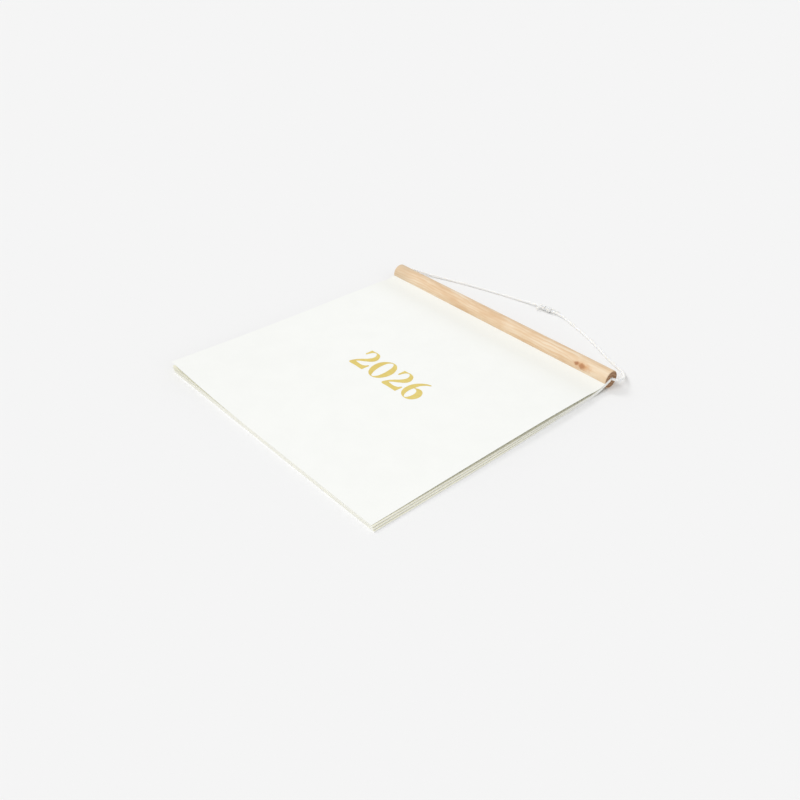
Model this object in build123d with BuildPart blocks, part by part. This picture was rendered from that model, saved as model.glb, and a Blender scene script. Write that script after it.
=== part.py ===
from build123d import *

import os
from math import atan, cos, degrees, pi, radians, sin, tan

# Wall calendar: a pad of leaves gripped in the kerf of a round wooden bar, with a hanging cord.
# It lies flat, and its origin is on the surface it lies on, under the middle of pad and bar.
# +Z is up, +X runs along the bar, and +Y runs from the pad's free edge to the bar.

# Pad
leaf_width = 300.0
leaf_drop = 286.0  # from the free edge to the front of the bar
leaf_thickness = 0.28
month_leaves = 12
pad_bend_radius = 60.0  # underside of the pad, where it rises from the surface to the kerf
cover_bow = 2.5  # how far the cover leaf arches off the month leaves
cover_clearance = 0.02  # air between the cover leaf and the month leaves in the kerf and the bend

# Bar
bar_overhang = 0.0  # the bar's ends are flush with the pad's sides
bar_diameter = 18.0
bar_chamfer = 0.5
kerf_tilt = 20.0  # the kerf's mouth points this many degrees below level, towards the pad
kerf_clearance = 0.08  # each side of the gripped leaves

# Cord
cord_diameter = 2.4
cord_inset = 1.2  # the cord runs this far behind the bar's axis, in the round end of the kerf
head_clearance = 0.3  # from the cord to the head of the leaves
cord_exit = 3.8  # how far the cord stands out of the bar's end faces before it turns

# Knot
knot_x = 12.0
knot_behind = 67.5  # from the bar's axis
knot_diameter = 6.4
knot_length = 16.0
knot_turn = 4.0  # degrees from +X to the knot's length
knot_end_rim = 0.2  # how far the knot's flat ends stand out round the cord
knot_lead = 8.0  # straight run of the cord out of each end of the knot
tail_diameter = 2.2
tail_runs = [(13.5, 6.2, -1.7), (-10.0, -6.3, -1.9)]  # from the knot's centre

# Sizes that follow
bar_radius = bar_diameter / 2
bar_length = leaf_width + 2 * bar_overhang
bar_end = bar_length / 2
block_thickness = month_leaves * leaf_thickness
pack_thickness = block_thickness + cover_clearance + leaf_thickness
kerf_width = pack_thickness + 2 * kerf_clearance
overall_depth = leaf_drop + bar_diameter
free_edge_y = -overall_depth / 2
bar_y = overall_depth / 2 - bar_radius
pack_underside = -pack_thickness / 2  # across the kerf, from its middle
cover_underside = pack_underside + block_thickness + cover_clearance
head_end = cord_inset - cord_diameter / 2 - head_clearance


def in_kerf(along, across):
    """Y and Z of a point of the kerf: along from the bar's axis inwards, across from its middle."""
    tilt = radians(kerf_tilt)
    return (
        bar_y + along * cos(tilt) - across * sin(tilt),
        bar_radius + along * sin(tilt) + across * cos(tilt),
    )


def bend_centre_y():
    """Y of the bend's centre: its arc touches the surface and the pack's underside in the kerf."""
    tilt = radians(kerf_tilt)
    under_y, under_z = in_kerf(0, pack_underside)
    return under_y - (pad_bend_radius - (pad_bend_radius - under_z) * cos(tilt)) / sin(tilt)


bend_y = bend_centre_y()
bend_centre = (bend_y, pad_bend_radius)
cover_height = block_thickness + cover_clearance
bow_angle = degrees(2 * atan(2 * cover_bow / (bend_y - free_edge_y)))
pad_side = Plane.YZ.offset(-leaf_width / 2)
kerf_plane = Plane(
    origin=(-bar_end, bar_y, bar_radius),
    x_dir=(0, cos(radians(kerf_tilt)), sin(radians(kerf_tilt))),
    z_dir=(1, 0, 0),
)


# Bar: a round rod with chamfered ends, and one radial kerf sawn along its whole length.
# The kerf ends round just behind the bar's axis, where the cord lies.
with BuildPart() as hanger_bar:
    with BuildSketch(kerf_plane):
        Circle(bar_radius)
    extrude(amount=bar_length)
    chamfer(hanger_bar.edges().filter_by(GeomType.CIRCLE), length=bar_chamfer)
    with BuildSketch(kerf_plane):
        with Locations((cord_inset, 0)):
            Rectangle(bar_diameter, kerf_width, align=(Align.MAX, Align.CENTER))
            Circle(kerf_width / 2)
    extrude(amount=bar_length, mode=Mode.SUBTRACT)
hanger_bar.part.label = "hanger_bar"


# Month leaves, as one solid: flat on the surface, then bent up into the kerf.
with BuildPart() as page_block:
    with BuildSketch(pad_side):
        with BuildLine():
            Line((free_edge_y, 0), (bend_y, 0))
            rise = CenterArc(bend_centre, pad_bend_radius, -90, kerf_tilt)
            Line(rise @ 1, in_kerf(head_end, pack_underside))
            offset(amount=block_thickness, side=Side.LEFT, closed=True)
        make_face()
    extrude(amount=leaf_width)
page_block.part.label = "page_block"


# Cover leaf: it follows the month leaves out of the kerf and round the bend,
# arches off them over the pad's length, and comes back down to them at the free edge.
with BuildPart() as cover_leaf:
    with BuildSketch(pad_side):
        with BuildLine():
            cover_radius = pad_bend_radius - cover_height
            dip = CenterArc(bend_centre, cover_radius, -90 + kerf_tilt, -kerf_tilt - bow_angle)
            Line(in_kerf(head_end, cover_underside), dip @ 0)
            TangentArc(dip @ 1, (free_edge_y, cover_height), tangent=dip % 1)
            offset(amount=leaf_thickness, side=Side.RIGHT, closed=True)
        make_face()
    extrude(amount=leaf_width)
cover_leaf.part.label = "cover_leaf"


# Knot: its plain outer shape, a spindle that lies on the surface, with the cord's two short tails.
knot_centre = Vector(knot_x, bar_y + knot_behind, knot_diameter / 2)
knot_waist = cord_diameter / 2 + knot_end_rim
knot_axis = Vector(1, 0, 0).rotate(Axis.Z, knot_turn)
knot_left = knot_centre - knot_axis * (knot_length / 2)
knot_right = knot_centre + knot_axis * (knot_length / 2)
knot_plane = Plane(origin=knot_centre, x_dir=knot_axis, z_dir=(0, 0, 1))
with BuildPart() as cord_knot:
    with BuildSketch(knot_plane):
        with BuildLine():
            left_end = Line((-knot_length / 2, 0), (-knot_length / 2, knot_waist))
            right_end = Line((knot_length / 2, knot_waist), (knot_length / 2, 0))
            ThreePointArc(left_end @ 1, (0, knot_diameter / 2), right_end @ 0)
            Line(right_end @ 1, left_end @ 0)
        make_face()
    revolve(axis=Axis(knot_centre, knot_axis))
    for tail_run in [Vector(*run) for run in tail_runs]:
        with BuildSketch(Plane(origin=knot_centre, z_dir=tail_run)):
            Circle(tail_diameter / 2)
        extrude(amount=tail_run.length)
cord_knot.part.label = "cord_knot"


# Cord: one length, from the knot's right end round the bar's right end, through the kerf,
# round the bar's left end and back to the knot's left end. It lies on the surface behind the bar.
# Its points are given behind the bar's axis and by how far the cord is lifted off the surface.
def on_surface(x, behind, lift):
    """Point of the cord where it lies loose behind the bar."""
    return Vector(x, bar_y + behind, cord_diameter / 2 + lift)


def round_end(side, beyond, behind, lift):
    """Point of the cord on its way round an end of the bar: the right end is side 1, the left -1."""
    return on_surface(side * (bar_end + beyond), behind, lift)


right_lay = [
    (36.5, 69.0, 0.7),
    (48.0, 66.0, 0.0),
    (65.0, 60.5, 0.0),
    (83.5, 54.0, 0.0),
    (101.5, 46.5, 0.0),
    (115.0, 39.5, 0.0),
]
right_turn = [
    (-22.0, 34.5, 0.1),
    (-11.5, 30.5, 0.9),
    (-2.8, 25.0, 2.0),
    (3.0, 17.5, 3.9),
    (5.2, 9.5, 6.3),
]
left_turn = [
    (4.6, 9.0, 7.0),
    (2.2, 17.0, 5.2),
    (-4.0, 23.0, 3.2),
    (-13.0, 27.5, 1.8),
    (-25.0, 32.5, 0.8),
]
left_lay = [
    (-109.0, 39.0, 0.2),
    (-88.0, 46.0, 0.0),
    (-62.0, 53.5, 0.0),
    (-38.0, 60.0, 0.0),
    (-19.0, 64.0, 0.4),
]
cord_seat = in_kerf(cord_inset, 0)
cord_points = [
    knot_right,
    knot_right + knot_axis * knot_lead,
    *[on_surface(*point) for point in right_lay],
    *[round_end(1, *point) for point in right_turn],
    Vector(bar_end + cord_exit, *cord_seat),
    Vector(-bar_end - cord_exit, *cord_seat),
    *[round_end(-1, *point) for point in left_turn],
    *[on_surface(*point) for point in left_lay],
    knot_left - knot_axis * knot_lead,
    knot_left,
]


def corner_radius(before, corner, after):
    """Arc at a corner of the cord's route, as large as its two runs allow."""
    run_in = corner - before
    run_out = after - corner
    half_turn = radians(run_in.get_angle(run_out)) / 2
    return 0.45 * min(run_in.length, run_out.length) / tan(half_turn)


cord_radii = [corner_radius(*cord_points[i : i + 3]) for i in range(len(cord_points) - 2)]
print("cord radii:", [round(radius, 1) for radius in cord_radii])

with BuildPart() as hanging_cord:
    with BuildLine() as cord_route:
        FilletPolyline(*cord_points, radius=cord_radii)
    with BuildSketch(Plane(origin=cord_route.line @ 0, z_dir=cord_route.line % 0)):
        Circle(cord_diameter / 2)
    sweep()
hanging_cord.part.label = "hanging_cord"
cord_length = cord_route.wire().length
cord_section = pi * cord_diameter**2 / 4
print("cord length:", round(cord_length, 1))
print("volume over section times length:", hanging_cord.part.volume / (cord_section * cord_length))


os.makedirs("parts", exist_ok=True)
for piece in (hanger_bar, page_block, cover_leaf, cord_knot, hanging_cord):
    export_step(piece.part, f"parts/{piece.part.label}.step")
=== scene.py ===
from math import cos, pi, radians, sin

import bmesh
import bpy
import numpy as np
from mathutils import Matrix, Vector, noise


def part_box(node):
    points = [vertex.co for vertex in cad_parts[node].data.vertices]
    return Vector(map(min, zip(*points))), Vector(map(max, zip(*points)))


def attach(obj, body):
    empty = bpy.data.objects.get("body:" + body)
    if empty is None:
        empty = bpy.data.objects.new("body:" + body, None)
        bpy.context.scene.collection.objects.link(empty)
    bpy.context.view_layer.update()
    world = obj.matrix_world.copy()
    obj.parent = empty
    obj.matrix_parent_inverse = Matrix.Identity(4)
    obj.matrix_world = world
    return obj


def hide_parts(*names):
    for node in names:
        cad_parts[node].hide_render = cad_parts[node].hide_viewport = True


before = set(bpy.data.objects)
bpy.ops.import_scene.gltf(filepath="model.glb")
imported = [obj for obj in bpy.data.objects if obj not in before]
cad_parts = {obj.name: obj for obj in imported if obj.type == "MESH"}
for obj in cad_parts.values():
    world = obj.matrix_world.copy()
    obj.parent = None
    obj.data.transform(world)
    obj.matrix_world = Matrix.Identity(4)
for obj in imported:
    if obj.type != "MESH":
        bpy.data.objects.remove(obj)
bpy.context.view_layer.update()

MM = 0.001

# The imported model's own sizes, in metres.
bar_low, bar_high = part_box("hanger_bar")
pad_low, pad_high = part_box("page_block")
bar_end = bar_high.x
bar_radius = (bar_high.z - bar_low.z) / 2
bar_y = (bar_high.y + bar_low.y) / 2
free_edge_y = pad_low.y
leaf_side = pad_high.x

# Sizes shared with the CAD source.
KERF_TILT = radians(20)
PAD_BEND_RADIUS = 60 * MM
MONTH_LEAVES = 12
LEAF_THICKNESS = 0.28 * MM
COVER_BOW = 2.5 * MM
COVER_CLEARANCE = 0.02 * MM
PACK_THICKNESS = (MONTH_LEAVES + 1) * LEAF_THICKNESS + COVER_CLEARANCE
CORD_DIAMETER = 2.4 * MM
CORD_INSET = 1.2 * MM
CORD_EXIT = 3.8 * MM
HEAD_CLEARANCE = 0.3 * MM
HEAD_END = CORD_INSET - CORD_DIAMETER / 2 - HEAD_CLEARANCE
KNOT_CENTRE = Vector((12 * MM, bar_y + 67.5 * MM, 3.2 * MM))
KNOT_TURN = radians(4)
KNOT_LENGTH = 16 * MM
KNOT_LEAD = 8 * MM


def in_kerf(along, across):
    """Y and Z of a point of the kerf: along from the bar's axis inwards, across from its middle."""
    return (
        bar_y + along * cos(KERF_TILT) - across * sin(KERF_TILT),
        bar_radius + along * sin(KERF_TILT) + across * cos(KERF_TILT),
    )


# ---------------------------------------------------------------- camera, floor and light


def add_camera():
    camera = bpy.data.objects.new("camera", bpy.data.cameras.new("camera"))
    camera.location = (0.5437, -0.4718, 0.4727)
    camera.rotation_euler = (radians(55.256), 0, radians(48.435))
    camera.data.lens = 40.2
    camera.data.sensor_width = 36
    bpy.context.scene.collection.objects.link(camera)
    bpy.context.scene.camera = camera


def add_sun(name, strength, softness, elevation, azimuth):
    """Soft white light from far away. Azimuth 0 comes from -Y and 90 from +X."""
    lamp = bpy.data.lights.new(name, "SUN")
    lamp.energy = strength
    lamp.angle = radians(softness)
    sun = bpy.data.objects.new(name, lamp)
    sun.rotation_euler = (radians(90 - elevation), 0, radians(azimuth))
    bpy.context.scene.collection.objects.link(sun)


def add_light():
    add_sun("key_light", 0.6, 18, 42, -80)
    add_sun("front_light", 0.9, 36, 52, -12)
    add_sun("side_fill", 0.2, 60, 18, 85)
    world = bpy.data.worlds.new("studio")
    world.use_nodes = True
    background = world.node_tree.nodes["Background"]
    background.inputs["Color"].default_value = (1, 1, 1, 1)
    background.inputs["Strength"].default_value = 0.688
    bpy.context.scene.world = world
    bpy.context.scene.view_settings.view_transform = "Standard"


def add_floor():
    half = 6.0
    mesh = bpy.data.meshes.new("floor")
    corners = [(-half, -half, 0), (half, -half, 0), (half, half, 0), (-half, half, 0)]
    mesh.from_pydata(corners, [], [(0, 1, 2, 3)])
    floor = bpy.data.objects.new("floor", mesh)
    bpy.context.scene.collection.objects.link(floor)
    paint = bpy.data.materials.new("floor_paint")
    paint.use_nodes = True
    shader = paint.node_tree.nodes["Principled BSDF"]
    shader.inputs["Base Color"].default_value = (0.86, 0.86, 0.86, 1)
    shader.inputs["Roughness"].default_value = 1.0
    shader.inputs["Specular IOR Level"].default_value = 0.0
    mesh.materials.append(paint)


# ---------------------------------------------------------------- materials


class Nodes:
    """Short calls for making a material's node tree."""

    def __init__(self, name):
        self.material = bpy.data.materials.new(name)
        self.material.use_nodes = True
        self.tree = self.material.node_tree
        self.shader = self.tree.nodes["Principled BSDF"]

    def add(self, kind, **inputs):
        node = self.tree.nodes.new("ShaderNode" + kind)
        for key, value in inputs.items():
            self.put(node, key, value)
        return node

    def put(self, node, key, value):
        """Sets a socket, found by name or number, or links it when value is another node's output."""
        if hasattr(node, key):
            setattr(node, key, value)
            return
        socket = node.inputs[int(key[1:])] if key[0] == "_" else node.inputs[key.replace("_", " ")]
        if isinstance(value, bpy.types.NodeSocket):
            self.tree.links.new(value, socket)
        else:
            socket.default_value = value

    def math(self, operation, a, b=0.0, c=0.0):
        node = self.add("Math", _0=a, _1=b, _2=c)
        node.operation = operation
        return node.outputs[0]

    def vector_math(self, operation, a, b=(0, 0, 0)):
        node = self.add("VectorMath", _0=a, _1=b)
        node.operation = operation
        return node.outputs["Value"] if operation == "LENGTH" else node.outputs[0]

    def place(self, scale=(1, 1, 1), offset=(0, 0, 0), turn=(0, 0, 0), kind="Object"):
        """Coordinates on the piece, moved by -offset, turned, then scaled."""
        found = self.add("TexCoord").outputs[kind]
        moved = self.vector_math("SUBTRACT", found, offset)
        node = self.add("Mapping", Vector=moved, Rotation=turn, Scale=scale)
        return node.outputs[0]

    def noise(self, where, scale, detail=2.0, roughness=0.5, distortion=0.0):
        node = self.add("TexNoise", Vector=where, Scale=scale, Detail=detail, Roughness=roughness,
                        Distortion=distortion)
        return node.outputs["Fac"]

    def ramp(self, value, stops):
        """Colour ramp: stops are (place, colour) pairs."""
        node = self.add("ValToRGB", Fac=value)
        elements = node.color_ramp.elements
        while len(elements) < len(stops):
            elements.new(0.5)
        for element, (place, colour) in zip(elements, stops):
            element.position = place
            element.color = (*colour, 1)
        return node.outputs["Color"]

    def mix(self, factor, a, b):
        """Colour a where factor is 0, b where it is 1."""
        node = self.add("Mix")
        node.data_type = "RGBA"
        for socket, value in ((0, factor), (6, a), (7, b)):
            if isinstance(value, bpy.types.NodeSocket):
                self.tree.links.new(value, node.inputs[socket])
            else:
                node.inputs[socket].default_value = value if socket == 0 else (*value, 1)
        return node.outputs[2]

    def step(self, value, low, high):
        """0 below low, 1 above high, smooth between."""
        node = self.add("MapRange", Value=value)
        node.interpolation_type = "SMOOTHSTEP"
        for key, number in (("From Min", low), ("From Max", high)):
            node.inputs[key].default_value = number
        return node.outputs["Result"]

    def bump(self, height, distance, strength, under=None):
        node = self.add("Bump", Height=height, Distance=distance, Strength=strength)
        if under is not None:
            self.tree.links.new(under, node.inputs["Normal"])
        return node.outputs["Normal"]

    def finish(self, colour, roughness, normal=None, **plain):
        self.put(self.shader, "Base_Color", colour)
        self.put(self.shader, "Roughness", roughness)
        if normal is not None:
            self.put(self.shader, "Normal", normal)
        for key, value in plain.items():
            self.put(self.shader, key, value)
        return self.material


def paper_material(name, tone, edge_light_tone, bar_shade_tone):
    """Uncoated off-white card: faint formation clouds, short fibres and a soft tooth. Its cut edges
    are painted lighter, as painted light, and it is painted darker and warmer where it comes out of the
    bar, as painted shade."""
    n = Nodes(name)
    where = n.place()
    clouds = n.noise(where, 38.0, 3.0, 0.6)
    fibres = n.noise(n.place(scale=(900, 2600, 900)), 1.0, 3.0, 0.7, 0.6)
    crossed = n.noise(n.place(scale=(2300, 800, 900), turn=(0, 0, 0.6)), 1.0, 3.0, 0.7, 0.4)
    tooth = n.noise(where, 2200.0, 2.0, 0.6)
    base = n.ramp(clouds, [(0.35, tuple(c * 0.985 for c in tone)), (0.65, tone)])
    fleck = n.math("MULTIPLY", n.step(fibres, 0.62, 0.8), 0.05)
    colour = n.mix(fleck, base, tuple(c * 0.82 for c in tone))
    # Painted shade: near the bar the paper is mixed towards a darker, warmer colour, standing in for
    # the bar's shade and the warm light bounced off the wood.
    bar_shade_mask = n.step(n.add("SeparateXYZ", Vector=where).outputs["Y"], bar_y - 60 * MM, bar_y - 14 * MM)
    colour = n.mix(bar_shade_mask, colour, bar_shade_tone)
    # Painted light: upright faces, the cut edges, take a lighter colour than the flat of the sheet,
    # standing in for light falling on the walls.
    facing = n.add("NewGeometry").outputs["Normal"]
    level = n.math("ABSOLUTE", n.add("SeparateXYZ", Vector=facing).outputs["Z"])
    colour = n.mix(n.step(level, 0.3, 0.7), edge_light_tone, colour)
    rough = n.math("MULTIPLY_ADD", tooth, 0.12, 0.8)
    height = n.math("MULTIPLY_ADD", crossed, 0.4, n.math("MULTIPLY_ADD", fibres, 0.6, tooth))
    normal = n.bump(height, 0.02 * MM, 0.35)
    return n.finish(colour, rough, normal, Specular_IOR_Level=0.25)


def foil_material():
    """Gold foil blocked on card: metal with fine grain from the paper below and small pinholes."""
    n = Nodes("gold_foil")
    grain = n.noise(n.place(), 1500.0, 3.0, 0.65)
    patches = n.noise(n.place(scale=(60, 110, 60)), 1.0, 3.0, 0.6)
    brushed = n.noise(n.place(scale=(260, 2400, 300), turn=(0, 0, 0.5)), 1.0, 2.0)
    colour = n.ramp(patches, [(0.3, (0.90, 0.70, 0.20)), (0.7, (0.97, 0.80, 0.27))])
    dull = n.step(grain, 0.66, 0.8)
    colour = n.mix(dull, colour, (0.74, 0.60, 0.22))
    rough = n.math("MULTIPLY_ADD", grain, 0.22, 0.34)
    normal = n.bump(n.math("ADD", grain, brushed), 0.012 * MM, 0.5)
    return n.finish(colour, rough, normal, Metallic=0.8)


def cotton_material():
    """Soft twisted cotton: yarn lines run along each strand, with matt fuzz."""
    n = Nodes("cotton")
    yarn = n.noise(n.place(scale=(9, 0.9, 1), turn=(0, 0, 0.5), kind="UV"), 1.0, 2.0, 0.6)
    lint = n.noise(n.place(), 2600.0, 3.0, 0.7)
    soil = n.noise(n.place(kind="UV"), 0.25, 2.0)
    colour = n.ramp(yarn, [(0.3, (0.92, 0.92, 0.885)), (0.62, (0.97, 0.97, 0.95))])
    colour = n.mix(n.math("MULTIPLY", n.step(soil, 0.5, 0.85), 0.2), colour, (0.90, 0.88, 0.82))
    rough = n.math("MULTIPLY_ADD", lint, 0.1, 0.86)
    normal = n.bump(yarn, 0.1 * MM, 0.5)
    normal = n.bump(lint, 0.04 * MM, 0.4, normal)
    return n.finish(colour, rough, normal, Specular_IOR_Level=0.15, Subsurface_Weight=0.6,
                    Subsurface_Radius=(1.0, 0.95, 0.85), Subsurface_Scale=1.2 * MM)


def pine_material():
    """Planed softwood: growth rings cut along their length, one knot, and open end grain."""
    n = Nodes("pine")
    knot_place = (119.0 * MM, bar_y - 7.9 * MM, 13.3 * MM)
    where = n.place()
    # The grain flows round the wood knot: the rings are pushed away from it.
    from_knot = n.place(scale=(1 / 0.011, 1 / 0.005, 1 / 0.006), offset=knot_place)
    knot_distance = n.vector_math("LENGTH", from_knot)
    push = n.math("DIVIDE", 0.0042, n.math("MULTIPLY_ADD", knot_distance, knot_distance, 1.0))
    wander = n.noise(n.place(scale=(11, 34, 34)), 1.0, 3.0, 0.6)
    fine_wander = n.noise(n.place(scale=(50, 300, 300)), 1.0, 2.0, 0.6)
    # Rings round a pith that lies below and in front of the bar, and runs a little askew.
    pith = n.place(offset=(0, bar_y - 16 * MM, -19 * MM), turn=(0, 0.022, 0.03), scale=(0.012, 1, 1))
    radius = n.vector_math("LENGTH", pith)
    radius = n.math("MULTIPLY_ADD", wander, 0.012, radius)
    radius = n.math("MULTIPLY_ADD", fine_wander, 0.0009, radius)
    radius = n.math("ADD", radius, push)
    phase = n.math("FRACT", n.math("MULTIPLY", radius, 1 / 0.0027))
    ring_end = n.math("SUBTRACT", 1.0, n.step(phase, 0.9, 1.0))
    late_wood = n.math("MULTIPLY", n.step(phase, 0.3, 0.9), ring_end)
    streak = n.noise(n.place(scale=(14, 700, 700)), 1.0, 3.0, 0.65)
    fibre = n.noise(n.place(scale=(38, 1900, 1900)), 1.0, 2.0, 0.7)
    band = n.noise(n.place(scale=(24, 110, 110), offset=(0.31, 0, 0)), 1.0, 3.0, 0.6)
    fade = n.math("MULTIPLY", n.step(n.noise(n.place(scale=(16, 60, 60)), 1.0, 2.0), 0.3, 0.6), 0.6)
    colour = n.ramp(band, [(0.34, (0.70, 0.49, 0.30)), (0.47, (0.77, 0.58, 0.385)),
                           (0.62, (0.82, 0.67, 0.49))])
    colour = n.mix(n.math("MULTIPLY", late_wood, fade), colour, (0.70, 0.455, 0.25))
    colour = n.mix(n.math("MULTIPLY", n.step(streak, 0.48, 0.7), 0.34), colour, (0.62, 0.42, 0.24))
    colour = n.mix(n.math("MULTIPLY", n.step(fibre, 0.6, 0.8), 0.15), colour, (0.60, 0.42, 0.25))
    # The wood knot: two orange-brown cores in a warm halo that runs along the grain.
    ragged = n.math("MULTIPLY_ADD", n.noise(where, 420.0, 3.0, 0.6), 0.8, -0.4)
    halo_place = n.place(scale=(1 / 0.014, 1 / 0.0046, 1 / 0.0056), turn=(0, 0, 0.12),
                         offset=(knot_place[0] + 2.5 * MM, knot_place[1], knot_place[2]))
    halo_distance = n.vector_math("LENGTH", halo_place)
    halo = n.math("SUBTRACT", 1.0, n.step(n.math("ADD", halo_distance, ragged), 0.15, 1.05))
    colour = n.mix(n.math("MULTIPLY", halo, 0.72), colour, (0.62, 0.30, 0.105))
    for aside, size, depth in ((-4.6 * MM, 1.2, 0.75), (1.8 * MM, 1.7, 0.62)):
        core_place = n.place(scale=(1 / (0.0027 * size), 1 / (0.0014 * size), 1 / (0.0026 * size)),
                             offset=(knot_place[0] + aside, knot_place[1] - 0.1 * aside, knot_place[2]))
        core_distance = n.math("ADD", n.vector_math("LENGTH", core_place), ragged)
        core = n.math("SUBTRACT", 1.0, n.step(core_distance, 0.4, 1.1))
        colour = n.mix(n.math("MULTIPLY", core, depth), colour, (0.36, 0.13, 0.045))
    # Greyer wood near the left end.
    along_bar = n.add("SeparateXYZ", Vector=where).outputs["X"]
    stain_edge = n.math("MULTIPLY_ADD", wander, 0.02, along_bar)
    stain = n.math("SUBTRACT", 1.0, n.step(stain_edge, -0.128, -0.108))
    colour = n.mix(n.math("MULTIPLY", stain, 0.45), colour, (0.58, 0.43, 0.27))
    # End grain: darker, with the same rings closer in tone and fine pores.
    facing = n.add("NewGeometry").outputs["Normal"]
    across = n.math("ABSOLUTE", n.add("SeparateXYZ", Vector=facing).outputs["X"])
    cut_end = n.step(across, 0.78, 0.95)
    pores = n.noise(n.place(scale=(300, 2600, 2600)), 1.0, 2.0, 0.6)
    end_colour = n.mix(late_wood, (0.40, 0.235, 0.13), (0.27, 0.135, 0.065))
    pore_shade = n.math("MULTIPLY", n.step(pores, 0.5, 0.75), 0.4)
    end_colour = n.mix(pore_shade, end_colour, (0.17, 0.085, 0.04))
    colour = n.mix(cut_end, colour, end_colour)
    rough = n.math("MULTIPLY_ADD", streak, 0.15, n.math("MULTIPLY_ADD", cut_end, 0.25, 0.5))
    height = n.math("MULTIPLY_ADD", cut_end, n.math("MULTIPLY", pores, 2.0), streak)
    height = n.math("MULTIPLY_ADD", late_wood, 0.5, n.math("MULTIPLY_ADD", fibre, 0.5, height))
    normal = n.bump(height, 0.06 * MM, 0.45)
    return n.finish(colour, rough, normal, Specular_IOR_Level=0.35)


# ---------------------------------------------------------------- mesh helpers


def add_piece(name, mesh, material, replaced):
    for polygon in mesh.polygons:
        polygon.use_smooth = True
    mesh.set_sharp_from_angle(angle=radians(55))
    piece = bpy.data.objects.new(name, mesh)
    bpy.context.scene.collection.objects.link(piece)
    mesh.materials.append(material)
    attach(piece, "root")
    if replaced:
        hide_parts(replaced)
    return piece


def make_mesh(name, vertices, faces):
    mesh = bpy.data.meshes.new(name)
    mesh.from_pydata([tuple(v) for v in vertices], [], [tuple(f) for f in faces])
    mesh.update()
    return mesh


def smooth(t):
    """0 to 1 with a soft start and end."""
    t = min(max(t, 0.0), 1.0)
    return t * t * (3 - 2 * t)


def spline_points(control_points, per_point=12):
    """Points of the smooth NURBS line through a route's control points."""
    curve = bpy.data.curves.new("route", "CURVE")
    curve.dimensions = "3D"
    spline = curve.splines.new("NURBS")
    spline.points.add(len(control_points) - 1)
    for point, place in zip(spline.points, control_points):
        point.co = (*place, 1)
    spline.order_u = 3
    spline.use_endpoint_u = True
    spline.resolution_u = per_point
    holder = bpy.data.objects.new("route", curve)
    mesh = bpy.data.meshes.new_from_object(holder)
    points = np.array([v.co[:] for v in mesh.vertices])
    bpy.data.objects.remove(holder)
    bpy.data.meshes.remove(mesh)
    keep = np.r_[True, np.linalg.norm(np.diff(points, axis=0), axis=1) > 1e-6]
    return points[keep]


def even_points(points, spacing):
    """The same line at even spacing, and the distance along it of each point."""
    run = np.r_[0, np.cumsum(np.linalg.norm(np.diff(points, axis=0), axis=1))]
    count = max(4, int(round(run[-1] / spacing)) + 1)
    at = np.linspace(0, run[-1], count)
    return np.stack([np.interp(at, run, points[:, k]) for k in range(3)], 1), at


def tube(vertices, faces, coordinates, line, radii, sides, lengthwise):
    """Adds a closed round tube along a line. coordinates takes, for each corner of each face, its
    place round the tube from 0 to 1 and its distance along it in millimetres."""
    tangent = np.gradient(line, axis=0)
    tangent /= np.linalg.norm(tangent, axis=1)[:, None]
    helper = np.array([0.0, 0.0, 1.0]) if abs(tangent[0][2]) < 0.9 else np.array([1.0, 0.0, 0.0])
    side = np.cross(tangent[0], helper)
    first = len(vertices)
    for i, (point, along, radius) in enumerate(zip(line, tangent, radii)):
        side = side - along * side.dot(along)
        side /= np.linalg.norm(side)
        up = np.cross(along, side)
        for k in range(sides):
            turn = 2 * pi * k / sides
            vertices.append(point + radius * (cos(turn) * side + sin(turn) * up))
    for i in range(len(line) - 1):
        for k in range(sides):
            a, b = first + i * sides + k, first + i * sides + (k + 1) % sides
            faces.append((a, b, b + sides, a + sides))
            coordinates.append([(k / sides, lengthwise[i]), ((k + 1) / sides, lengthwise[i]),
                                ((k + 1) / sides, lengthwise[i + 1]), (k / sides, lengthwise[i + 1])])
    for ring, order in ((0, -1), (len(line) - 1, 1)):
        loop = [first + ring * sides + k for k in range(sides)][::order]
        faces.append(loop)
        coordinates.append([(0.5, lengthwise[ring])] * sides)


STRAND_SHARE = 0.49  # a strand's radius as a share of the cord's


def twisted_strands(builder, route, radius, lay=9.0 * MM, strands=3, frayed=0.0, start=0.0, sides=8,
                    spacing=0.42 * MM):
    """Adds a cord of twisted strands along a route. frayed is how much of its end comes apart."""
    line, at = even_points(route, spacing)
    tangent = np.gradient(line, axis=0)
    tangent /= np.linalg.norm(tangent, axis=1)[:, None]
    side = np.cross(tangent[0], (0.0, 0.0, 1.0))
    sides_of, ups = [], []
    for along in tangent:
        side = side - along * side.dot(along)
        side /= np.linalg.norm(side)
        sides_of.append(side)
        ups.append(np.cross(along, side))
    sides_of, ups = np.array(sides_of), np.array(ups)
    strand_radius = radius * STRAND_SHARE
    offset = radius - strand_radius
    total = at[-1]
    for k in range(strands):
        turn = start + 2 * pi * (at / lay + k / strands)
        opened = np.ones(len(at))
        if frayed:
            loose = np.clip((at - (total - frayed)) / frayed, 0, 1)
            opened = 1 + 0.9 * loose**1.5
        wobble = 1 + 0.05 * np.sin(at / MM * 1.7 + k * 2.1)
        out = (np.cos(turn) * offset * opened * wobble)[:, None] * sides_of
        out = out + (np.sin(turn) * offset * opened * wobble)[:, None] * ups
        radii = np.full(len(at), strand_radius)
        if frayed:
            radii = radii * (1 - 0.35 * loose**3)
        tube(*builder, line + out, radii, sides, at / MM)


def cord_mesh(name, builder):
    vertices, faces, coordinates = builder
    mesh = make_mesh(name, vertices, faces)
    layer = mesh.uv_layers.new(name="strand")
    flat = [c for face in coordinates for corner in face for c in corner]
    layer.data.foreach_set("uv", flat)
    return mesh


# ---------------------------------------------------------------- hanging cord and its knot


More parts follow.
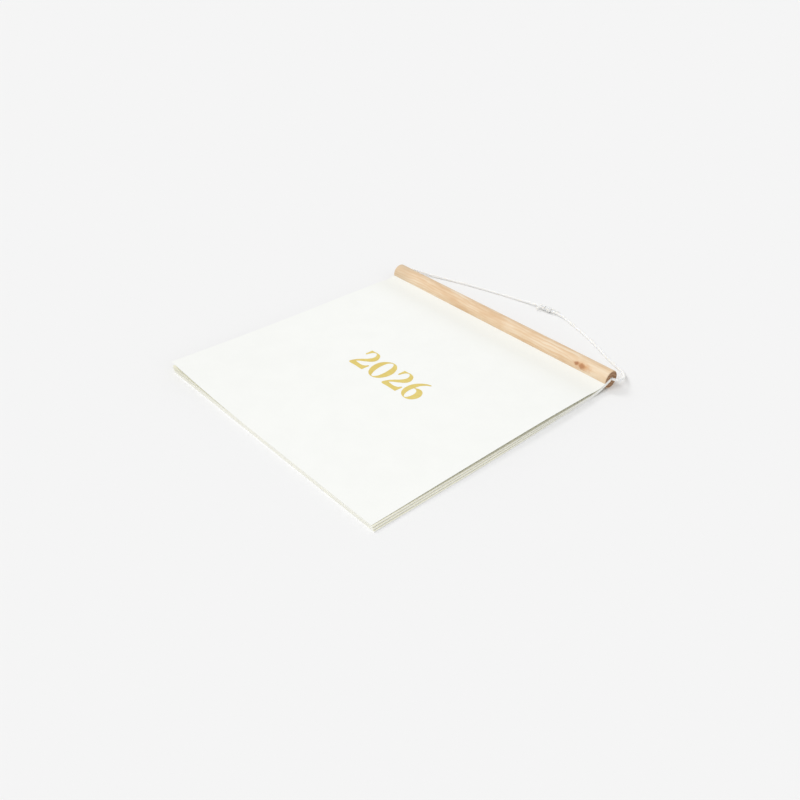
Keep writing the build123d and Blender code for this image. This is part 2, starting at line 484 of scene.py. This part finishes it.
def on_surface(x, behind, lift):
    """Point of the cord where it lies loose behind the bar, given in millimetres."""
    return Vector((x * MM, bar_y + behind * MM, CORD_DIAMETER / 2 + lift * MM))


def round_end(side, beyond, behind, lift):
    """Point of the cord on its way round an end of the bar: the right end is side 1, the left -1."""
    return on_surface(side * (bar_end / MM + beyond), behind, lift)


RIGHT_LAY = [(36.5, 69.0, 0.7), (48.0, 66.0, 0.0), (65.0, 60.5, 0.0), (83.5, 54.0, 0.0),
             (101.5, 46.5, 0.0), (115.0, 39.5, 0.0)]
RIGHT_TURN = [(-22.0, 34.5, 0.1), (-11.5, 30.5, 0.9), (-2.8, 25.0, 2.0), (3.0, 17.5, 3.9),
              (5.2, 9.5, 6.3)]
LEFT_TURN = [(4.6, 9.0, 7.0), (2.2, 17.0, 5.2), (-4.0, 23.0, 3.2), (-13.0, 27.5, 1.8),
             (-25.0, 32.5, 0.8)]
LEFT_LAY = [(-109.0, 39.0, 0.2), (-88.0, 46.0, 0.0), (-62.0, 53.5, 0.0), (-38.0, 60.0, 0.0),
            (-19.0, 64.0, 0.4)]
IN_BAR = 9 * MM  # from the turn outside the bar's end to where the cord is straight in the kerf
LOFTY_RADIUS = 1.38 * MM  # the soft strands stand out a little further than the cord's firm middle

knot_axis = Vector((cos(KNOT_TURN), sin(KNOT_TURN), 0))
knot_side = Vector((-sin(KNOT_TURN), cos(KNOT_TURN), 0))
knot_right = KNOT_CENTRE + knot_axis * (KNOT_LENGTH / 2)
knot_left = KNOT_CENTRE - knot_axis * (KNOT_LENGTH / 2)


def cord_route():
    seat = in_kerf(CORD_INSET, 0)
    outside = bar_end + CORD_EXIT
    return [
        knot_right,
        knot_right + knot_axis * KNOT_LEAD,
        *[on_surface(*point) for point in RIGHT_LAY],
        *[round_end(1, *point) for point in RIGHT_TURN],
        Vector((outside, *seat)),
        Vector((outside - IN_BAR, *seat)),
        Vector((-outside + IN_BAR, *seat)),
        Vector((-outside, *seat)),
        *[round_end(-1, *point) for point in LEFT_TURN],
        *[on_surface(*point) for point in LEFT_LAY],
        knot_left - knot_axis * KNOT_LEAD,
        knot_left,
    ]


def add_cord(cotton):
    line = spline_points(cord_route())
    line[:, 2] = np.maximum(line[:, 2], LOFTY_RADIUS)  # the strands rest on the surface
    builder = ([], [], [])
    twisted_strands(builder, line, LOFTY_RADIUS)
    cord = add_piece("twisted_cord", cord_mesh("twisted_cord", builder), cotton, "hanging_cord")
    return cord, line


def in_knot(along, aside, up):
    """Point of the knot from its centre, in millimetres: along the cord, aside towards the back, up."""
    return KNOT_CENTRE + knot_axis * along * MM + knot_side * aside * MM + Vector((0, 0, up * MM))


def knot_half(hand):
    """Route of one of the knot's two cords. It enters at one end, runs through the knot, is wound
    twice round itself and the other cord, and comes out as a tail. hand is 1 for the cord from the
    left, -1 for the cord from the right."""
    core = 0.62
    route = [in_knot(-9.5 * hand, 0, 0), in_knot(-6.0 * hand, -core * hand * 0.5, -0.15),
             in_knot(-2.0 * hand, -core * hand, -0.3), in_knot(0.4 * hand, -core * hand * 1.6, 0.2)]
    turns, steps = 2.35, 8
    wide, high = 2.2, 1.85
    for i in range(int(turns * steps) + 1):
        angle = 2 * pi * i / steps
        along = (1.0 + 5.4 * i / (turns * steps)) * hand
        swell = 1 + 0.08 * sin(i * 1.9 + hand)
        route.append(in_knot(along, -hand * cos(angle) * wide * swell, 0.1 + sin(angle) * high * swell))
    return route


def knot_tail(hand):
    ends = {1: [(6.2, 1.2, 0.6), (8.6, 3.0, 0.3), (10.8, 4.6, -1.0), (13.2, 5.9, -1.8)],
            -1: [(-6.2, -1.4, 0.5), (-7.2, -3.0, 0.0), (-8.0, -4.3, -1.4), (-8.8, -5.4, -2.0)]}
    return [in_knot(*point) for point in ends[hand]]


KNOT_LIFT = 0.2 * MM
KNOT_LOWEST = 1.2 * MM  # no winding's middle lies lower than this
KNOT_CORD_RADIUS = 1.18 * MM  # the knot pulls its cords thinner than they are outside it
KNOT_LAY = 8 * MM
TAIL_FRAY = 2.6 * MM


def add_knot(cotton):
    builder = ([], [], [])
    for hand in (1, -1):
        line = spline_points(knot_half(hand) + knot_tail(hand), 6)
        line[:, 2] = np.maximum(line[:, 2] + KNOT_LIFT, KNOT_LOWEST)
        twisted_strands(builder, line, KNOT_CORD_RADIUS, KNOT_LAY, frayed=TAIL_FRAY, start=hand)
    return add_piece("tied_knot", cord_mesh("tied_knot", builder), cotton, "cord_knot")


# ---------------------------------------------------------------- leaves

# The month leaves from the lowest up, in three bundles of four: how far each lies out of line at
# the free right corner, and the air under it there, in millimetres.
LEAF_SLIPS = [3.9, 3.88, 3.86, 3.84, 2.65, 2.63, 2.61, 2.59, 1.4, 1.37, 1.34, 1.31]
LEAF_AIR = [0.0, 0.0, 0.0, 0.0, 0.3, 0.0, 0.0, 0.0, 0.3, 0.0, 0.0, 0.0]
AIR = sum(LEAF_AIR) * MM
CUT_THICKNESS = 0.277 * MM  # a leaf without the hair line between it and the next
LEAF_WAVE = 0.15 * MM
LEAF_CURL = (2.6 * MM, 95 * MM, 120 * MM)  # left free corner: lift, reach along X, reach along Y
COVER_CURL = (6.2 * MM, 130 * MM, 190 * MM)
COVER_RISE = 1.15 * COVER_BOW
COVER_AIR = AIR + 0.3 * MM
COVER_WAVE = 0.3 * MM
ARC_STEPS = 12
FLAT_STEPS = 46


def bend_y():
    """Y of the bend's centre: its arc touches the surface and the pack's underside in the kerf."""
    under_y, under_z = in_kerf(0, -PACK_THICKNESS / 2)
    rise = (PAD_BEND_RADIUS - under_z) * cos(KERF_TILT)
    return under_y - (PAD_BEND_RADIUS - rise) / sin(KERF_TILT)


BEND_Y = bend_y()


def pad_line(height):
    """Y and Z from the head in the kerf to the free edge, at a height above the pad's underside."""
    points = []
    head = in_kerf(HEAD_END, -PACK_THICKNESS / 2 + height)
    arc = PAD_BEND_RADIUS - height
    for i in range(ARC_STEPS + 1):
        angle = KERF_TILT * (1 - i / ARC_STEPS)
        points.append((BEND_Y + arc * sin(angle), PAD_BEND_RADIUS - arc * cos(angle)))
    to_bend = np.array(points[0]) - np.array(head)
    lead = [tuple(np.array(head) + to_bend * t) for t in (0, 0.25, 0.5, 0.75)]
    flat = BEND_Y - free_edge_y
    rest = [(BEND_Y - flat * (i + 1) / FLAT_STEPS, height) for i in range(FLAT_STEPS)]
    return lead + points + rest


def from_bar(y):
    """0 in the bar, 1 at the free edge."""
    return (bar_y - y) / (bar_y - free_edge_y)


def spread(y):
    """How far the leaves have opened: 0 in the bar, 1 from a third of the pad's length on."""
    return smooth((from_bar(y) - 0.08) / 0.3)


def leaf_slip(k, y):
    """How far a leaf lies out of line, to the right and beyond the cover's free edge."""
    slip = LEAF_SLIPS[k] * MM
    reach = from_bar(y)
    aside = slip * smooth(reach * 1.6) * (0.82 + 0.18 * reach)
    return aside, -0.12 * slip * smooth((reach - 0.3) / 0.7)


def corner_lift(x, y, lift, reach_x, reach_y):
    """Curl of the left free corner: its lift at the corner, and how far along X and Y it reaches."""
    u = (x + leaf_side) / reach_x
    v = (y - free_edge_y) / reach_y
    d = (u * u + v * v) ** 0.5
    return lift * max(0.0, 1 - d) ** 1.7


def sheet_mesh(name, surfaces):
    """One mesh of thin leaves. surfaces is a list of (top, underside) point grids."""
    vertices, faces = [], []
    for top, under in surfaces:
        rows, columns = len(top), len(top[0])
        base = len(vertices)
        for grid in (top, under):
            for row in grid:
                vertices.extend(row)
        size = rows * columns

        def at(i, j, below):
            return base + i * columns + j + (size if below else 0)

        for i in range(rows - 1):
            for j in range(columns - 1):
                faces.append((at(i, j, 0), at(i + 1, j, 0), at(i + 1, j + 1, 0), at(i, j + 1, 0)))
                faces.append((at(i, j, 1), at(i, j + 1, 1), at(i + 1, j + 1, 1), at(i + 1, j, 1)))
        last_row, last = rows - 1, columns - 1
        for i in range(rows - 1):
            faces.append((at(i, 0, 0), at(i, 0, 1), at(i + 1, 0, 1), at(i + 1, 0, 0)))
            faces.append((at(i + 1, last, 0), at(i + 1, last, 1), at(i, last, 1), at(i, last, 0)))
        for j in range(columns - 1):
            faces.append((at(0, j + 1, 0), at(0, j + 1, 1), at(0, j, 1), at(0, j, 0)))
            faces.append((at(last_row, j, 0), at(last_row, j, 1), at(last_row, j + 1, 1),
                          at(last_row, j + 1, 0)))
    return make_mesh(name, vertices, faces)


def columns_across(count):
    """X of evenly spaced columns from one side of a leaf to the other."""
    return [leaf_side * (2 * j / count - 1) for j in range(count + 1)]


def add_month_leaves(paper):
    columns = columns_across(30)
    curl, curl_x, curl_y = LEAF_CURL
    surfaces = []
    air = 0.0
    for k in range(MONTH_LEAVES):
        air += LEAF_AIR[k] * MM
        level = (k + 1) / MONTH_LEAVES
        grids = []
        for height in (k * LEAF_THICKNESS + CUT_THICKNESS, k * LEAF_THICKNESS):
            grid = []
            for y, z in pad_line(height):
                row = []
                for x in columns:
                    aside, forward = leaf_slip(k, y)
                    lift = air * spread(y)
                    lift += corner_lift(x, y, curl * level**5, curl_x, curl_y)
                    wave = 1 + noise.noise(Vector((x * 9, y * 9, 3.7)))
                    lift += LEAF_WAVE * spread(y) * wave * level
                    row.append((x + aside, y + forward, z + lift))
                grid.append(row)
            grids.append(grid)
        surfaces.append(grids)
    mesh = sheet_mesh("month_leaves", surfaces)
    return add_piece("month_leaves", mesh, paper, "page_block")


def cover_height(x, y, z):
    """Height of the cover where the pad's own line has y and z: it leaves the kerf in a gentler
    bend than the leaves below, and comes down to them at the free edge."""
    t = min(max((BEND_Y - y) / (BEND_Y - free_edge_y), 0.0), 1.0)
    bar_front = bar_y - bar_radius
    out = max((bar_front - y) / (bar_front - free_edge_y), 0.0)
    lift = COVER_RISE * smooth(out * 11) * (1 - out**2.3) + COVER_AIR * spread(y)
    lift += corner_lift(x, y, *COVER_CURL)
    wave = COVER_WAVE * noise.noise(Vector((x * 5.5 + 3, y * 5.5, 1.3)))
    return z + lift + wave * smooth(t * 5) * smooth((1 - t) * 8)


def cover_surface(x, y):
    """Height of the cover's top at a place on the flat of the pad."""
    return cover_height(x, y, MONTH_LEAVES * LEAF_THICKNESS + COVER_CLEARANCE) + LEAF_THICKNESS


def add_cover(paper):
    columns = columns_across(60)
    base = MONTH_LEAVES * LEAF_THICKNESS + COVER_CLEARANCE
    grids = []
    for thickness in (LEAF_THICKNESS, 0.0):
        line = pad_line(base + thickness)
        grids.append([[(x, y, cover_height(x, y, z)) for x in columns] for y, z in line])
    mesh = sheet_mesh("cover_sheet", [grids])
    return add_piece("cover_sheet", mesh, paper, "cover_leaf")


# ---------------------------------------------------------------- the year, in foil

# Outlines of the figures, in millimetres from the lower left of the year: smooth curves through
# these points, with a sharp corner where the point has a third entry.
FIGURE_TWO = [
    (1.1, 21.6), (0.7, 25.6), (0.6, 30.6, 1), (4.6, 30.9), (9.6, 31.3), (14.2, 30.0), (17.8, 25.8),
    (19.0, 21.2), (17.6, 17.2), (12.6, 12.6), (7.6, 8.9), (4.5, 6.0, 1), (9.0, 5.5), (14.6, 5.7),
    (17.9, 7.2), (20.4, 10.2), (21.1, 9.8), (21.3, 5.0), (21.0, 0.2, 1), (10.0, 0.1), (0.6, 0.3),
    (0.1, 1.5), (1.4, 5.8), (5.0, 11.6), (10.4, 18.2), (12.3, 23.0), (11.2, 27.6), (8.0, 29.9),
    (5.2, 28.4), (3.4, 24.6), (2.1, 21.3),
]
FIGURE_NOUGHT = [
    (22.0, 16.6), (23.0, 22.6), (27.4, 28.4), (34.0, 31.3), (40.6, 29.4), (45.8, 22.9), (47.6, 15.0),
    (45.6, 6.3), (40.8, 0.9), (36.0, -0.5), (29.8, 1.1), (24.4, 7.3),
]
NOUGHT_COUNTER = [
    (33.8, 29.9), (30.6, 27.8), (29.0, 21.2), (29.8, 12.4), (32.5, 4.2), (35.7, 0.6), (38.7, 3.2),
    (40.1, 10.2), (39.5, 18.6), (37.4, 26.4),
]
FIGURE_SIX = [
    (87.2, 32.3), (84.0, 32.2), (79.4, 29.7), (75.1, 25.4), (72.4, 20.5), (71.4, 14.6), (72.8, 7.2),
    (76.9, 1.9), (83.2, -0.3), (89.2, 1.3), (92.9, 6.3), (93.5, 10.8), (91.6, 16.0), (87.8, 19.3),
    (84.2, 20.0), (81.0, 19.1), (78.7, 18.0, 1), (79.0, 21.2), (80.4, 25.0), (83.2, 28.8), (87.0, 31.7),
]
SIX_COUNTER = [
    (78.4, 17.0, 1), (81.3, 16.8), (83.9, 15.2), (85.5, 11.9), (85.9, 7.4), (84.8, 2.7), (82.9, 0.8),
    (80.7, 2.3), (78.7, 6.9), (77.9, 12.2),
]
# The figures of the year: outline, where it was drawn from, and where it stands.
FIGURES = [(FIGURE_TWO, 0.0, 0.3), (FIGURE_NOUGHT, 22.0, 22.4), (NOUGHT_COUNTER, 22.0, 22.4),
           (FIGURE_TWO, 0.0, 49.5), (FIGURE_SIX, 71.4, 71.5), (SIX_COUNTER, 71.4, 71.5)]
FIGURE_WIDTH = 0.957  # the outlines above are drawn a little too wide and too tall
FIGURE_HEIGHT = 0.963
YEAR_TURN = radians(-0.8)
YEAR_PLACE = (-42.9 * MM, bar_y - 162.1 * MM)
YEAR_SIZE = (94, 33)
FOIL_CELL = 2
FOIL_LIFT = 0.03 * MM  # above the cover


def add_outline(curve, outline, drawn_from, stands_at):
    """Adds a figure's outline to the year, moved along X from drawn_from to stands_at."""
    spline = curve.splines.new("BEZIER")
    spline.bezier_points.add(len(outline) - 1)
    spline.use_cyclic_u = True
    for point, place in zip(spline.bezier_points, outline):
        x = stands_at + (place[0] - drawn_from) * FIGURE_WIDTH
        point.co = (x, place[1] * FIGURE_HEIGHT, 0)
        point.handle_left_type = point.handle_right_type = "VECTOR" if len(place) > 2 else "AUTO"


def add_year(foil):
    curve = bpy.data.curves.new("year", "CURVE")
    curve.dimensions = "2D"
    curve.fill_mode = "BOTH"
    curve.resolution_u = 10
    for figure in FIGURES:
        add_outline(curve, *figure)
    holder = bpy.data.objects.new("year", curve)
    mesh = bpy.data.meshes.new_from_object(holder)
    bpy.data.objects.remove(holder)
    shape = bmesh.new()
    shape.from_mesh(mesh)
    # Cut into small cells, so that the foil follows the cover.
    for axis, last in enumerate(YEAR_SIZE):
        for place in range(-1, last, FOIL_CELL):
            at, normal = [0.0, 0.0, 0.0], [0.0, 0.0, 0.0]
            at[axis], normal[axis] = place, 1.0
            bmesh.ops.bisect_plane(shape, geom=shape.verts[:] + shape.edges[:] + shape.faces[:],
                                   plane_co=at, plane_no=normal)
    for vertex in shape.verts:
        x, y = vertex.co.x * MM, vertex.co.y * MM
        x, y = (YEAR_PLACE[0] + x * cos(YEAR_TURN) - y * sin(YEAR_TURN),
                YEAR_PLACE[1] + x * sin(YEAR_TURN) + y * cos(YEAR_TURN))
        vertex.co = (x, y, cover_surface(x, y) + FOIL_LIFT)
    bmesh.ops.recalc_face_normals(shape, faces=shape.faces)
    for face in shape.faces:
        if face.normal.z < 0:
            face.normal_flip()
    shape.to_mesh(mesh)
    shape.free()
    mesh.materials.clear()
    return add_piece("foil_year", mesh, foil, None)


# ---------------------------------------------------------------- the whole scene

add_camera()
add_light()
add_floor()

cotton = cotton_material()
cord, cord_line = add_cord(cotton)
knot = add_knot(cotton)

# The edge colours are painted light on the cut edges, and the bar colours are painted shade next to the
# bar.
month_paper = paper_material("month_paper", tone=(0.88, 0.862, 0.705), edge_light_tone=(0.925, 0.925, 0.90),
                             bar_shade_tone=(0.865, 0.845, 0.695))
cover_paper = paper_material("cover_paper", tone=(0.895, 0.903, 0.877), edge_light_tone=(0.92, 0.925, 0.90),
                             bar_shade_tone=(0.85, 0.855, 0.815))
add_month_leaves(month_paper)
add_cover(cover_paper)
add_year(foil_material())

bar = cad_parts["hanger_bar"]
bar.data.materials.clear()
bar.data.materials.append(pine_material())
